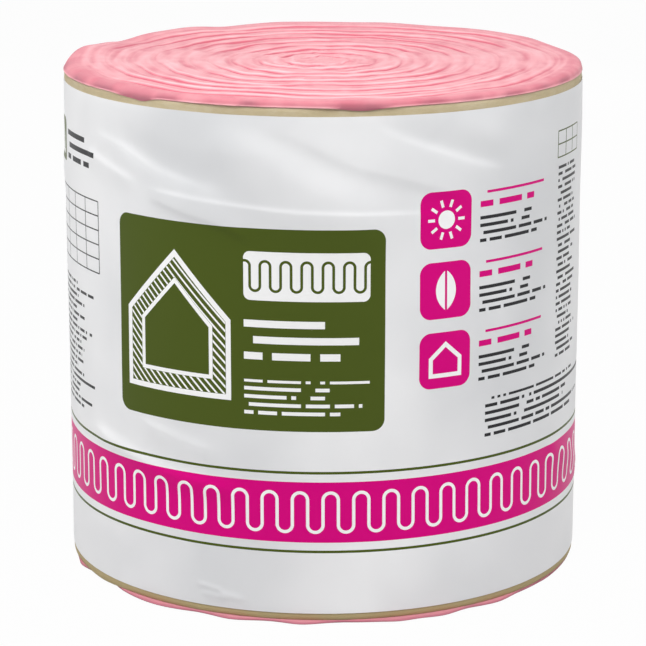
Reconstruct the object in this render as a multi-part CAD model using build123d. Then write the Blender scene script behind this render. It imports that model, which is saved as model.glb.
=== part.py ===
from build123d import *

import os
from math import degrees

# Insulation roll: a kraft-faced glass-wool batt, rolled up tight and standing on its end in a film wrap.
# Frame: millimetres, +Z up, origin on the floor at the roll's axis. The front is -Y, and the left -X.
# The batt's tail is at the left, and the wrap's lap at the back.

# Driving dimensions: the stock.
ROLL_DIAMETER = 400.0  # over the wrap
TURN_PITCH = 19.5  # compressed thickness of the batt, from one turn to the next
FACING_WIDTH = 381.0  # 15 in, between the paper's two folded edges
PAPER_THICKNESS = 0.3  # asphalt-coated kraft paper
FLANGE_WIDTH = 25.0  # stapling flange, folded back flat along each edge
FILM_THICKNESS = 0.3
LAP_LENGTH = 30.0  # overlap where the wrap closes on itself
LAYER_GAP = 0.2  # between the wool, the paper and the film

# Driving dimensions: how far each layer shows past the next one out.
PAPER_SHOWS_TOP = 6.0
PAPER_SHOWS_BOTTOM = 5.0
WOOL_SHOWS_TOP = 7.0
WOOL_SHOWS_BOTTOM = 3.0  # less than above, because the roll stands on it
WOOL_SHOULDER_TOP = 7.0  # how far in the round of the top edge reaches
WOOL_SHOULDER_BOTTOM = 5.0

# Driving dimensions: the groove between one turn and the next, on each end.
GROOVE_WIDTH = 8.0
GROOVE_DEPTH_TOP = 5.0
GROOVE_DEPTH_BOTTOM = 2.5
TAIL_THICKNESS = 11.5  # wool outside the groove where it starts, at the batt's tail

# Radii, from the outside in.
film_outer = ROLL_DIAMETER / 2
film_inner = film_outer - FILM_THICKNESS
flange_outer = film_inner - LAYER_GAP
paper_outer = flange_outer - PAPER_THICKNESS
paper_inner = paper_outer - PAPER_THICKNESS
wool_radius = paper_inner - LAYER_GAP

# Heights, from the floor up.
paper_bottom = WOOL_SHOWS_BOTTOM
paper_top = paper_bottom + FACING_WIDTH
film_bottom = paper_bottom + PAPER_SHOWS_BOTTOM
film_top = paper_top - PAPER_SHOWS_TOP
wool_top = paper_top + WOOL_SHOWS_TOP

# Where a turn starts, and the half of the roll that it goes round first.
LEFT_SIDE = Vector(-1, 0, 0)
BACK_SIDE = Vector(0, 1, 0)
ANTICLOCKWISE = 1  # seen from above
CLOCKWISE = -1


def half_turn(section, start_side, offset, sense, arc=180.0):
    """Turns a section of radius and height from a start side, about an upright axis offset towards it."""
    centre = start_side * offset
    section_plane = Plane(origin=centre, x_dir=start_side, z_dir=start_side.cross(Vector(0, 0, 1)))
    return revolve(section_plane * section, Axis(centre, (0, 0, sense)), arc)


def full_turn(section):
    """Turns a section of radius and height all the way round the roll's axis."""
    return half_turn(section, BACK_SIDE, 0.0, ANTICLOCKWISE, 360.0)


def rectangle(inner, outer, bottom, top):
    """Section between two radii and two heights."""
    return make_face(Polyline((inner, bottom), (outer, bottom), (outer, top), (inner, top), close=True))


def batt_blank():
    """The rolled batt before its turns show: a turned solid with a flat foot and two rounded edges."""
    foot = wool_radius - WOOL_SHOULDER_BOTTOM
    crown = wool_radius - WOOL_SHOULDER_TOP
    outline = Polyline((0, wool_top), (0, 0), (foot, 0))
    outline += EllipticalCenterArc((foot, paper_bottom), WOOL_SHOULDER_BOTTOM, WOOL_SHOWS_BOTTOM, -90)
    outline += Line((wool_radius, paper_bottom), (wool_radius, paper_top))
    outline += EllipticalCenterArc((crown, paper_top), WOOL_SHOULDER_TOP, WOOL_SHOWS_TOP, 0)
    outline += Line((crown, wool_top), (0, wool_top))
    return full_turn(make_face(outline))


def groove_section(radius, end_height, depth):
    """A groove sunk by depth from an end face, with room above it to cut. A negative depth is the foot's."""
    inner = radius - GROOVE_WIDTH / 2
    outer = radius + GROOVE_WIDTH / 2
    clear = end_height + depth
    root = (radius, end_height - depth)
    return make_face(
        Polyline((inner, end_height), root, (outer, end_height), (outer, clear), (inner, clear), close=True)
    )


def spiral_groove(end_height, depth):
    """One groove wound from the batt's tail, at the left, in to the heart of the roll.

    Half turns about two centres, half a pitch apart, join into a spiral that gains one pitch a turn.
    Gives the front halves and the back halves, because the halves on one side don't touch each other.
    """
    quarter = TURN_PITCH / 4
    radius = wool_radius - TAIL_THICKNESS - quarter
    sense = ANTICLOCKWISE
    halves = {ANTICLOCKWISE: [], CLOCKWISE: []}
    while radius > TURN_PITCH / 2:
        section = groove_section(radius, end_height, depth)
        halves[sense].append(half_turn(section, LEFT_SIDE, sense * quarter, sense))
        radius -= TURN_PITCH / 2
        sense = -sense
    return halves.values()


def wool_roll():
    """Glass-wool batt: one turned solid whose turns show as a spiral on both ends."""
    roll = batt_blank()
    for end_height, depth in ((wool_top, GROOVE_DEPTH_TOP), (0.0, -GROOVE_DEPTH_BOTTOM)):
        for halves in spiral_groove(end_height, depth):
            roll -= halves
    return roll


def kraft_facing():
    """Outer turn of the paper facing, with the stapling flange folded back along each edge."""
    facing = rectangle(paper_inner, paper_outer, paper_bottom, paper_top)
    facing += rectangle(paper_inner, flange_outer, paper_top - FLANGE_WIDTH, paper_top)
    facing += rectangle(paper_inner, flange_outer, paper_bottom, paper_bottom + FLANGE_WIDTH)
    return full_turn(facing)


def film_wrap():
    """Printed film, closed at the back: it gains one thickness a turn, then laps over its own start."""
    step = FILM_THICKNESS / 2
    first = rectangle(film_inner, film_outer, film_bottom, film_top)
    last = rectangle(film_inner + step, film_outer + step, film_bottom, film_top)
    lap = rectangle(film_outer, film_outer + FILM_THICKNESS, film_bottom, film_top)
    wrap = half_turn(first, BACK_SIDE, 0.0, ANTICLOCKWISE)
    wrap += half_turn(last, BACK_SIDE, step, CLOCKWISE)
    return wrap + half_turn(lap, BACK_SIDE, 0.0, ANTICLOCKWISE, degrees(LAP_LENGTH / film_outer))


os.makedirs("parts", exist_ok=True)
for make_piece in (wool_roll, kraft_facing, film_wrap):
    piece = make_piece()
    piece.label = make_piece.__name__
    export_step(piece, f"parts/{piece.label}.step")
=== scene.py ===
"""Insulation roll: the looks of a kraft-faced glass-wool batt, rolled up tight in a printed film wrap.

Everything is in metres in the part's own frame: +Z up, the front at -Y and the left at -X. An angle round
the roll starts at the left and goes by the front to the right, as the batt winds. The print on the film is
laid out in millimetres, across from the front and up from the film's foot.
"""

import logging
import math
from dataclasses import dataclass
from enum import Enum

import bpy
import numpy as np
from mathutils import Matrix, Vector, noise

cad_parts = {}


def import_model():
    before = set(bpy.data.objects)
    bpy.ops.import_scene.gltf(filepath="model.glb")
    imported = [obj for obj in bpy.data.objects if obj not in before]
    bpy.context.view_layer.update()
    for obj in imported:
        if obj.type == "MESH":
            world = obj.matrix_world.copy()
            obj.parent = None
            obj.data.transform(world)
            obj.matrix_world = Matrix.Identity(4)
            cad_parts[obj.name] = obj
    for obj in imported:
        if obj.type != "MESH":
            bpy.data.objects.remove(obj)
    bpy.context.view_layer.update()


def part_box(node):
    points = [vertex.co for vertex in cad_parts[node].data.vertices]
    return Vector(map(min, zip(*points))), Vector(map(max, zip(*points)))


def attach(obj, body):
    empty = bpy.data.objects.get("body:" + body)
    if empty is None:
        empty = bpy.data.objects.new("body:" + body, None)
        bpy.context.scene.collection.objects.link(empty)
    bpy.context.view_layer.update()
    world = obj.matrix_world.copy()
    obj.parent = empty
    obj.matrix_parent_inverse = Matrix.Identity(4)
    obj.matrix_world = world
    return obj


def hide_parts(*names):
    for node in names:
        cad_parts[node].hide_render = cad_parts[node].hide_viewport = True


Tree = bpy.types.NodeTree
Socket = bpy.types.NodeSocket
Spot = tuple[float, float]  # millimetres on the film, across from its front and up from its foot
Range = tuple[float, float]  # where a change starts and ends

LOG = logging.getLogger("insulation_roll")
MM = 0.001  # one millimetre, in metres
TURN = 2 * math.pi
MATH = "ShaderNodeMath"
VECTOR_MATH = "ShaderNodeVectorMath"
NOISE = "ShaderNodeTexNoise"
COLOUR_MIX = {"data_type": "RGBA"}  # what makes a mix node blend colours
UNDER, OVER, BLEND = 6, 7, 2  # that node's colour sockets: the two that go in, and what comes out


class Ink(Enum):
    """The inks that the wrap is printed with, as sRGB hex values."""

    OLIVE = "#4a571c"
    MAGENTA = "#d7007d"
    CHARCOAL = "#2e2e30"
    WHITE = "#f8f8f8"
    BARE = "#f3f3f4"  # the film itself


def linear(hex_colour: str) -> tuple[float, float, float, float]:
    """Turns an sRGB hex colour into linear RGBA.

    Args:
        hex_colour: The colour as #rrggbb.

    Returns:
        The four linear channels, with full alpha.
    """
    channels = [int(hex_colour[start:start + 2], 16) / 255 for start in (1, 3, 5)]
    red, green, blue = (c / 12.92 if c <= 0.04045 else ((c + 0.055) / 1.055) ** 2.4 for c in channels)
    return red, green, blue, 1.0


def smoothstep(low: float, high: float, value: np.ndarray) -> np.ndarray:
    """Gives 0 below low and 1 above high, with a smooth rise between them."""
    share = np.clip((value - low) / (high - low), 0.0, 1.0)
    return share * share * (3 - 2 * share)


def smooth_noise(*axes: np.ndarray | float) -> np.ndarray:
    """Gives Perlin noise at points whose three coordinates are in noise cells.

    Args:
        axes: The three coordinates, which broadcast together.

    Returns:
        The noise, from about -1 to 1, in the broadcast shape.
    """
    points = np.stack(np.broadcast_arrays(*axes), axis=-1)
    values = [noise.noise(point) for point in points.reshape(-1, 3).tolist()]
    return np.array(values).reshape(points.shape[:-1])


@dataclass(frozen=True)
class Unevenness:
    """A value that drifts softly round the roll, where it joins up, and along a second distance."""

    middle: float
    swing: float  # at most about this much to each side of the middle
    cells: float  # noise cells in a radian of turn
    depth: float = math.inf  # second distance across a noise cell
    seed: float = 0.0  # sets its noise apart from the others

    def at(self, angles: np.ndarray, distances: np.ndarray | float = 0.0) -> np.ndarray:
        """Gives the value at each angle and second distance."""
        x, y = self.cells * np.cos(angles), self.cells * np.sin(angles)
        return self.middle + self.swing * smooth_noise(x, y, distances / self.depth + self.seed)


@dataclass(frozen=True)
class RimStretch:
    """A short stretch of the rim that differs from the rest, and fades out at both ends."""

    angle: float  # degrees from the left, at its middle
    width: float  # degrees
    amount: float  # metres, at its middle

    def along(self, angles: np.ndarray) -> np.ndarray:
        """Gives the amount at each angle round the roll."""
        offset = (np.degrees(angles) - self.angle + 180) % 360 - 180
        return self.amount * np.exp(-((offset / self.width) ** 2))


def add_node(tree: Tree, kind: str, settings: dict, inputs: dict) -> bpy.types.Node:
    """Adds a shader node with its settings and links.

    Args:
        tree: The node tree that gets the node.
        kind: The node's type.
        settings: The node's own properties, by name.
        inputs: What goes into each input, by its name or number: a socket to link, or a constant.

    Returns:
        The new node.
    """
    node = tree.nodes.new(kind)
    for name, value in settings.items():
        setattr(node, name, value)
    for key, value in inputs.items():
        if isinstance(value, Socket):
            tree.links.new(value, node.inputs[key])
        else:
            node.inputs[key].default_value = value
    return node


def work_out(tree: Tree, kind: str, value: object, *steps: tuple) -> Socket:
    """Passes a value through a row of nodes, each working on what the one before it gives.

    Args:
        tree: The node tree that gets the nodes.
        kind: The nodes' type.
        value: A socket or a constant to start from.
        steps: For each node, its operation and its other inputs.

    Returns:
        What the last node gives.
    """
    for operation, *others in steps:
        inputs = dict(enumerate((value, *others)))
        node = add_node(tree, kind, {"operation": operation}, inputs)
        value = node.outputs["Value"] if operation == "LENGTH" else node.outputs[0]
    return value


def set_tones(ramp: bpy.types.ColorRamp, stops: tuple[float, ...], colours: tuple[str, ...]) -> None:
    """Sets the stops of a new colour ramp.

    Args:
        ramp: The ramp.
        stops: Where its colours are, from low to high.
        colours: The colours as sRGB hex values.
    """
    while len(ramp.elements) < len(stops):
        ramp.elements.new(stops[-1])
    for element, stop, colour in zip(ramp.elements, stops, colours):
        element.position, element.color = stop, linear(colour)


def end_in_surface(tree: Tree, looks: dict, bump: dict) -> None:
    """Ends a material in a surface that has a fine relief.

    Args:
        tree: The material's node tree.
        looks: What goes into the surface's shader, by name.
        bump: What goes into the relief, by name.
    """
    normal = add_node(tree, "ShaderNodeBump", {}, bump).outputs[0]
    shader = add_node(tree, "ShaderNodeBsdfPrincipled", {}, {**looks, "Normal": normal}).outputs[0]
    add_node(tree, "ShaderNodeOutputMaterial", {}, {"Surface": shader})


def new_tree(name: str) -> tuple[bpy.types.Material, Tree, Socket]:
    """Makes a node material that is empty apart from the place on the object.

    Args:
        name: The material's name.

    Returns:
        The material, its node tree, and the place on the object in millimetres.
    """
    material = bpy.data.materials.new(name)
    material.use_nodes = True
    tree = material.node_tree
    tree.nodes.clear()
    place = add_node(tree, "ShaderNodeTexCoord", {}, {}).outputs["Object"]
    place = add_node(tree, VECTOR_MATH, {"operation": "SCALE"}, {0: place, "Scale": 1 / MM}).outputs[0]
    return material, tree, place


def grid_object(name: str, grid: np.ndarray, faces: list[tuple[int, ...]]) -> bpy.types.Object:
    """Makes a smooth mesh object from points and faces, with its crisp edges kept sharp.

    Args:
        name: The piece's name.
        grid: The points, in metres, in any shape that ends in three.
        faces: The corners of each face, as places in the flattened grid.

    Returns:
        The object, linked to the scene.
    """
    crisp_angle = math.radians(50)
    mesh = bpy.data.meshes.new(name)
    mesh.from_pydata(grid.reshape(-1, 3).tolist(), [], faces)
    mesh.shade_smooth()
    mesh.set_sharp_from_angle(angle=crisp_angle)
    piece = bpy.data.objects.new(name, mesh)
    bpy.context.scene.collection.objects.link(piece)
    return piece


def strip_faces(rows: int, columns: int, rows_close: bool, columns_close: bool) -> list[tuple[int, ...]]:
    """Lists the quads of a grid, row by row.

    Args:
        rows: How many rows of points the grid has.
        columns: How many points each row has.
        rows_close: Whether the last row joins the first.
        columns_close: Whether each row is a ring.

    Returns:
        The quads, as places in the flattened grid.
    """
    quads = []
    for row in range(rows if rows_close else rows - 1):
        upper = (row + 1) % rows
        for column in range(columns if columns_close else columns - 1):
            right = (column + 1) % columns
            corners = ((row, column), (row, right), (upper, right), (upper, column))
            quads.append(tuple(r * columns + c for r, c in corners))
    return quads


def spaced(stops: tuple[float, ...], steps: tuple[int, ...]) -> np.ndarray:
    """Spaces places along a run whose stretches are divided into different numbers of steps.

    Args:
        stops: Where the stretches start and end, in order.
        steps: The number of steps in each stretch.

    Returns:
        The places, one more than the steps.
    """
    ticks = np.concatenate(([0], np.cumsum(steps)))
    return np.interp(np.arange(ticks[-1] + 1), ticks, stops)


def around(angles: np.ndarray, radii: np.ndarray, heights: np.ndarray) -> np.ndarray:
    """Places points round the roll's axis.

    Args:
        angles: Angles from the left, by the front, in radians.
        radii: Distances from the axis.
        heights: Heights above the floor.

    Returns:
        The points, with x, y and z along a new last axis.
    """
    x, y = -radii * np.cos(angles), -radii * np.sin(angles)
    return np.stack(np.broadcast_arrays(x, y, heights), axis=-1)


@dataclass(frozen=True)
class RollSizes:
    """The sizes that the three layers share, read from the frame."""

    wool_radius: float
    wool_top: float
    paper_radius: float
    paper_bottom: float
    paper_top: float
    film_radius: float
    film_bottom: float
    film_top: float

    @classmethod
    def from_frame(cls) -> "RollSizes":
        """Reads the layers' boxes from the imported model.

        Returns:
            The sizes, in metres.
        """
        wool_low, wool_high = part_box("wool_roll")
        paper_low, paper_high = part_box("kraft_facing")
        film_low, film_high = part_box("film_wrap")
        return cls(
            wool_radius=(wool_high[0] - wool_low[0]) / 2,
            wool_top=wool_high[2],
            paper_radius=(paper_high[0] - paper_low[0]) / 2,
            paper_bottom=paper_low[2],
            paper_top=paper_high[2],
            film_radius=-film_low[1],
            film_bottom=film_low[2],
            film_top=film_high[2],
        )


@dataclass(frozen=True)
class GlassWool:
    """Resin-bonded glass wool, dyed pink, spun and laid in layers.

    To the eye it is dead matt, with soft streaks along the layers. It has a painted highlight on the lips
    of the turns, where light comes through, painted shade deeper down in the grooves, and painted shade in
    patches on the rim and at the foot.
    """

    pale: str = "#f6c7cc"
    body: str = "#eda4ac"
    deep: str = "#d67182"
    # the colour of the painted shade on the rim and at the foot
    painted_shade: str = "#b26a78"
    tone_stops: tuple[float, ...] = (0.12, 0.5, 0.92)  # of the deep, body and pale colours
    plain_tone: float = 0.15
    streak_tone: float = 0.3  # what the streaks, the painted light and shade of the lips and grooves, and the patches add to the tone
    lip_tone: float = 0.5
    patch_tone: float = 0.4
    shade_plain: float = 0.4  # how much painted shade the rim gets between its patches, and what a patch adds
    shade_patch: float = 1.2
    streak_width: float = 5.0  # mm across a streak
    streaks_round: float = 2.2  # noise cells in a radian of turn
    patch_size: float = 15.0  # mm
    fibre_size: float = 1.6  # mm; real fibres are far finer, drawn this coarse so that they show
    fibre_relief: float = 0.6  # of the streaks' relief

    def material(self) -> bpy.types.Material:
        """Builds the material.

        Returns:
            Pink wool whose streaks follow the turns.
        """
        material, tree, place = new_tree("glass_wool_resin_bonded")
        height = add_node(tree, "ShaderNodeSeparateXYZ", {}, {0: place}).outputs["Z"]
        flat = work_out(tree, VECTOR_MATH, place, ("MULTIPLY", (1, 1, 0)))
        radius = work_out(tree, VECTOR_MATH, flat, ("LENGTH",))
        heading = work_out(tree, VECTOR_MATH, flat, ("NORMALIZE",), ("MULTIPLY", (self.streaks_round,) * 3))
        layer = work_out(tree, MATH, radius, ("ADD", height), ("DIVIDE", self.streak_width))
        layer = add_node(tree, "ShaderNodeCombineXYZ", {}, {"Z": layer}).outputs[0]
        along = work_out(tree, VECTOR_MATH, heading, ("ADD", layer))
        streak_inputs = {"Vector": along, "Scale": 1.0, "Detail": 3.0, "Roughness": 0.6}
        streaks = add_node(tree, NOISE, {}, streak_inputs).outputs[0]
        patch_inputs = {"Vector": place, "Scale": 1 / self.patch_size, "Detail": 2.0}
        patches = add_node(tree, NOISE, {}, patch_inputs).outputs[0]
        fibre_inputs = {"Vector": place, "Scale": 1 / self.fibre_size, "Detail": 4.0, "Roughness": 0.7}
        fibres = add_node(tree, NOISE, {}, fibre_inputs).outputs[0]

        # crest is painted light and shade along the turns; rim is how much painted shade the rim and foot
        # get
        crest = add_node(tree, "ShaderNodeAttribute", {"attribute_name": "crest"}, {}).outputs["Fac"]
        rim = add_node(tree, "ShaderNodeAttribute", {"attribute_name": "rim"}, {}).outputs["Fac"]
        tone = work_out(tree, MATH, streaks, ("MULTIPLY", self.streak_tone), ("ADD", self.plain_tone))
        tone = work_out(tree, MATH, crest, ("MULTIPLY_ADD", self.lip_tone, tone))
        tone = work_out(tree, MATH, patches, ("MULTIPLY_ADD", self.patch_tone, tone))
        tint = add_node(tree, "ShaderNodeValToRGB", {}, {"Fac": tone})
        set_tones(tint.color_ramp, self.tone_stops, (self.deep, self.body, self.pale))
        # painted shade on the rim and at the foot, in patches
        painted_shade_share = work_out(tree, MATH, patches, ("MULTIPLY_ADD", self.shade_patch, self.shade_plain))
        painted_shade_share = work_out(tree, MATH, painted_shade_share, ("MULTIPLY", rim))
        layers = {"Factor": painted_shade_share, UNDER: tint.outputs[0], OVER: linear(self.painted_shade)}
        colour = add_node(tree, "ShaderNodeMix", COLOUR_MIX, layers).outputs[BLEND]

        relief = work_out(tree, MATH, fibres, ("MULTIPLY_ADD", self.fibre_relief, streaks))
        looks = {
            "Base Color": colour,
            "Roughness": 0.95,
            "IOR": 1.5,
            "Specular IOR Level": 0.15,
            "Sheen Weight": 0.15,
            "Sheen Roughness": 0.6,
        }
        end_in_surface(tree, looks, {"Strength": 0.25, "Distance": 0.8 * MM, "Height": relief})
        return material


@dataclass(frozen=True)
class KraftPaper:
    """Unbleached kraft paper, calendered and coated with asphalt on its hidden side.

    To the eye it is tan and nearly matt, clouded by the uneven pulp, with a few pale fibres. Its top fold
    has a painted highlight, and it has painted shade towards its lower edge, which stands near the floor.
    """

    sizes: RollSizes
    pale: str = "#c9bb9c"
    body: str = "#c2b28f"
    deep: str = "#bbab88"
    # painted shade towards the paper's lower edge
    foot_shade: str = "#ab996c"
    tone_stops: tuple[float, ...] = (0.5, 0.75, 1.0)  # of the deep, body and pale colours
    cloud_size: float = 16.0  # mm
    fibre_size: float = 1.1  # mm across a fibre
    fibre_stretch: float = 0.25  # a fibre's width over its length
    fibre_tone: float = 0.55  # what the fibres add to the clouds
    shade_height: float = 60.0  # mm above the paper's lower edge, where the painted shade fades out
    lit_fold_width: float = 1.4  # mm below the top fold, painted as a highlight

    def material(self) -> bpy.types.Material:
        """Builds the material.

        Returns:
            Clouded tan paper with fine fibres.
        """
        material, tree, place = new_tree("kraft_paper_calendered")
        cloud_inputs = {"Vector": place, "Scale": 1 / self.cloud_size, "Detail": 5.0}
        clouds = add_node(tree, NOISE, {}, cloud_inputs).outputs[0]
        stretch = (self.fibre_stretch, self.fibre_stretch, 1.0)
        stretched = work_out(tree, VECTOR_MATH, place, ("MULTIPLY", stretch))
        fibre_inputs = {"Vector": stretched, "Scale": 1 / self.fibre_size, "Detail": 3.0, "Roughness": 0.65}
        fibres = add_node(tree, NOISE, {}, fibre_inputs).outputs[0]
        mottle = work_out(tree, MATH, fibres, ("MULTIPLY_ADD", self.fibre_tone, clouds))
        tint = add_node(tree, "ShaderNodeValToRGB", {}, {"Fac": mottle})
        set_tones(tint.color_ramp, self.tone_stops, (self.deep, self.body, self.pale))

        height = add_node(tree, "ShaderNodeSeparateXYZ", {}, {0: place}).outputs["Z"]
        foot, top = self.sizes.paper_bottom / MM, self.sizes.paper_top / MM
        # painted shade towards the lower edge, and a painted highlight along the top fold
        shading = {"Value": height, "From Min": foot + self.shade_height, "From Max": foot, "To Max": 0.9}
        lit_fold = {"Value": height, "From Min": top - self.lit_fold_width, "From Max": top, "To Max": 0.8}
        colour = tint.outputs[0]
        for change, shade in ((shading, self.foot_shade), (lit_fold, self.pale)):
            share = add_node(tree, "ShaderNodeMapRange", {}, change).outputs[0]
            layers = {"Factor": share, UNDER: colour, OVER: linear(shade)}
            colour = add_node(tree, "ShaderNodeMix", COLOUR_MIX, layers).outputs[BLEND]

        looks = {"Base Color": colour, "Roughness": 0.72, "IOR": 1.5}
        end_in_surface(tree, looks, {"Strength": 0.2, "Distance": 0.3 * MM, "Height": fibres})
        return material


class WrapPrint:
    """Draws flat shapes on the wrap, in millimetres across from its front and up from its foot.

    A shape is a mask that is 1 inside it and 0 outside. Painting it lays an ink over what is there.
    """

    def __init__(self, tree: Tree, spot: Socket, bare: Socket) -> None:
        """Starts a print.

        Args:
            tree: The film's node tree.
            spot: The place on the film: across, up and 0.
            bare: The film's own colour, with its painted shade.
        """
        self.tree = tree
        self.spot = spot
        self.colour = bare

    def paint(self, mask: Socket, ink: Ink) -> None:
        """Lays an ink over the print inside a mask."""
        layers = {"Factor": mask, UNDER: self.colour, OVER: linear(ink.value)}
        self.colour = add_node(self.tree, "ShaderNodeMix", COLOUR_MIX, layers).outputs[BLEND]

    def within(self, *masks: Socket) -> Socket:
        """Gives the mask of what lies inside all the masks."""
        return work_out(self.tree, MATH, masks[0], *(("MULTIPLY", mask) for mask in masks[1:]))

    def local(self, origin: Spot) -> tuple[Socket, Socket]:
        """Measures from an origin.

        Args:
            origin: Where to measure from.

        Returns:
            The distances across and up.
        """
        offset = work_out(self.tree, VECTOR_MATH, self.spot, ("SUBTRACT", (*origin, 0)))
        split = add_node(self.tree, "ShaderNodeSeparateXYZ", {}, {0: offset})
        return split.outputs["X"], split.outputs["Y"]

    def reach(self, centre: Spot) -> Socket:
        """Gives the distance from a centre."""
        return work_out(self.tree, VECTOR_MATH, self.spot, ("SUBTRACT", (*centre, 0)), ("LENGTH",))

    def tile(self, centre: Spot, size: Spot, corner: float) -> Socket:
        """Shapes a rectangle with round corners.

        Args:
            centre: Its middle.
            size: Its width and height.
            corner: The radius of its corners.

        Returns:
            The mask.
        """
        core = (size[0] / 2 - corner, size[1] / 2 - corner, 0)
        beside = work_out(self.tree, VECTOR_MATH, self.spot, ("SUBTRACT", (*centre, 0)), ("ABSOLUTE",))
        past_core = (("SUBTRACT", core), ("MAXIMUM", (0, 0, 0)), ("LENGTH",))
        past_core = work_out(self.tree, VECTOR_MATH, beside, *past_core)
        return work_out(self.tree, MATH, past_core, ("LESS_THAN", corner))

    def stripe(self, height: float, width: float) -> Socket:
        """Shapes a stripe all round the film, with its middle at a height."""
        return work_out(self.tree, MATH, self.local((0, 0))[1], ("COMPARE", height, width / 2))

    def hatch(self, pitch: float, width: float) -> Socket:
        """Shapes slanting lines all over the film.

        Args:
            pitch: The distance from line to line, straight across.
            width: The width of a line, straight across.

        Returns:
            The mask.
        """
        across, up = self.local((0, 0))
        rise = work_out(self.tree, MATH, across, ("ADD", up))
        return work_out(self.tree, MATH, rise, ("FLOORED_MODULO", pitch), ("LESS_THAN", width))

    def wave(self, height: float, swing: float, loop: float, stroke: float) -> Socket:
        """Shapes the row of loops, all round the film, that stands for insulation on drawings.

        Args:
            height: The height of its middle.
            swing: How far it goes up and down.
            loop: The width of a loop, from leg to leg.
            stroke: The line's width.

        Returns:
            The mask.
        """
        across, up = self.local((0, height))
        leg, middle = swing - loop / 2, loop / 2
        parity = work_out(self.tree, MATH, across, ("DIVIDE", loop), ("FLOOR",), ("FLOORED_MODULO", 2.0))
        sign = work_out(self.tree, MATH, parity, ("MULTIPLY_ADD", -2.0, 1.0))
        past_loop = work_out(self.tree, MATH, up, ("MULTIPLY", sign), ("LESS_THAN", 0.0))
        in_loop = work_out(self.tree, MATH, across, ("FLOORED_MODULO", loop))
        beside = work_out(self.tree, MATH, in_loop, ("SUBTRACT", middle), ("ABSOLUTE",))
        to_next = work_out(self.tree, MATH, beside, ("MULTIPLY_ADD", -2.0, loop))
        from_middle = work_out(self.tree, MATH, past_loop, ("MULTIPLY_ADD", to_next, beside))
        past_leg = work_out(self.tree, MATH, up, ("ABSOLUTE",), ("SUBTRACT", leg), ("MAXIMUM", 0.0))
        bend = add_node(self.tree, "ShaderNodeCombineXYZ", {}, {"X": from_middle, "Y": past_leg}).outputs[0]
        bend = work_out(self.tree, VECTOR_MATH, bend, ("LENGTH",))
        return work_out(self.tree, MATH, bend, ("COMPARE", middle, stroke / 2))

    def ruled_lines(self, corner: Spot, size: Spot, pitch: float, dash: float) -> Socket:
        """Shapes a block of broken lines with a ragged right edge, which stands for small print.

        Args:
            corner: The block's lower left corner.
            size: Its width and height.
            pitch: The distance from line to line.
            dash: The length that a line is broken into.

        Returns:
            The mask.
        """
        gap_share, ragged_share, line_share = 0.2, 0.4, 0.45
        width, height = size
        across, up = self.local(corner)
        row = work_out(self.tree, MATH, up, ("DIVIDE", pitch), ("FLOOR",))
        cell = work_out(self.tree, MATH, across, ("DIVIDE", dash), ("FLOOR",))
        key = add_node(self.tree, "ShaderNodeCombineXYZ", {}, {"X": cell, "Y": row}).outputs[0]
        chance = add_node(self.tree, "ShaderNodeTexWhiteNoise", {"noise_dimensions": "2D"}, {"Vector": key})
        inked = work_out(self.tree, MATH, chance.outputs["Value"], ("GREATER_THAN", gap_share))
        short = add_node(self.tree, "ShaderNodeTexWhiteNoise", {"noise_dimensions": "1D"}, {"W": row})
        ragged = ("MULTIPLY_ADD", -ragged_share * width, width)
        limit = work_out(self.tree, MATH, short.outputs["Value"], ragged)
        started = work_out(self.tree, MATH, across, ("GREATER_THAN", 0.0))
        ended = work_out(self.tree, MATH, across, ("LESS_THAN", limit))
        on_line = work_out(self.tree, MATH, up, ("FLOORED_MODULO", pitch))
        on_line = work_out(self.tree, MATH, on_line, ("LESS_THAN", line_share * pitch))
        in_block = work_out(self.tree, MATH, up, ("COMPARE", height / 2, height / 2))
        return self.within(inked, started, ended, on_line, in_block)

    def house(self, foot: Spot, width: float, eaves: float, ridge: float) -> Socket:
        """Works out how far a place is outside the outline of a house's section.

        Args:
            foot: The middle of its floor line.
            width: The width over its walls.
            eaves: The height of its walls.
            ridge: The height of its ridge.

        Returns:
            The distance outside the outline, which is negative inside.
        """
        across, up = self.local(foot)
        pitch = math.atan2(ridge - eaves, width / 2)
        side = work_out(self.tree, MATH, across, ("ABSOLUTE",))
        wall = work_out(self.tree, MATH, side, ("SUBTRACT", width / 2))
        floor = work_out(self.tree, MATH, up, ("MULTIPLY", -1.0))
        drop = work_out(self.tree, MATH, up, ("SUBTRACT", ridge), ("MULTIPLY", math.cos(pitch)))
        roof = work_out(self.tree, MATH, side, ("MULTIPLY_ADD", math.sin(pitch), drop))
        return work_out(self.tree, MATH, wall, ("MAXIMUM", floor), ("MAXIMUM", roof))

    def outline(self, distance: Socket, depth: float, stroke: float) -> Socket:
        """Shapes a line that runs inside an outline, with its middle at a depth from it."""
        return work_out(self.tree, MATH, distance, ("COMPARE", -depth, stroke / 2))

    def sun(self, centre: Spot, radius: float) -> Socket:
        """Shapes a disc with rays round it.

        Args:
            centre: Its middle.
            radius: The reach of its rays.

        Returns:
            The mask.
        """
        rays, stroke, disc_share, ray_share = 10, 2.2, 0.45, 0.64
        across, up = self.local(centre)
        reach = self.reach(centre)
        disc = work_out(self.tree, MATH, reach, ("LESS_THAN", disc_share * radius))
        half_step = math.pi / rays
        lean = work_out(self.tree, MATH, up, ("ARCTAN2", across), ("WRAP", half_step, -half_step))
        beside = work_out(self.tree, MATH, lean, ("SINE",), ("MULTIPLY", reach))
        on_ray = work_out(self.tree, MATH, beside, ("COMPARE", 0.0, stroke / 2))
        middle, half = (1 + ray_share) / 2 * radius, (1 - ray_share) / 2 * radius
        in_ring = work_out(self.tree, MATH, reach, ("COMPARE", middle, half))
        return work_out(self.tree, MATH, self.within(on_ray, in_ring), ("MAXIMUM", disc))

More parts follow.
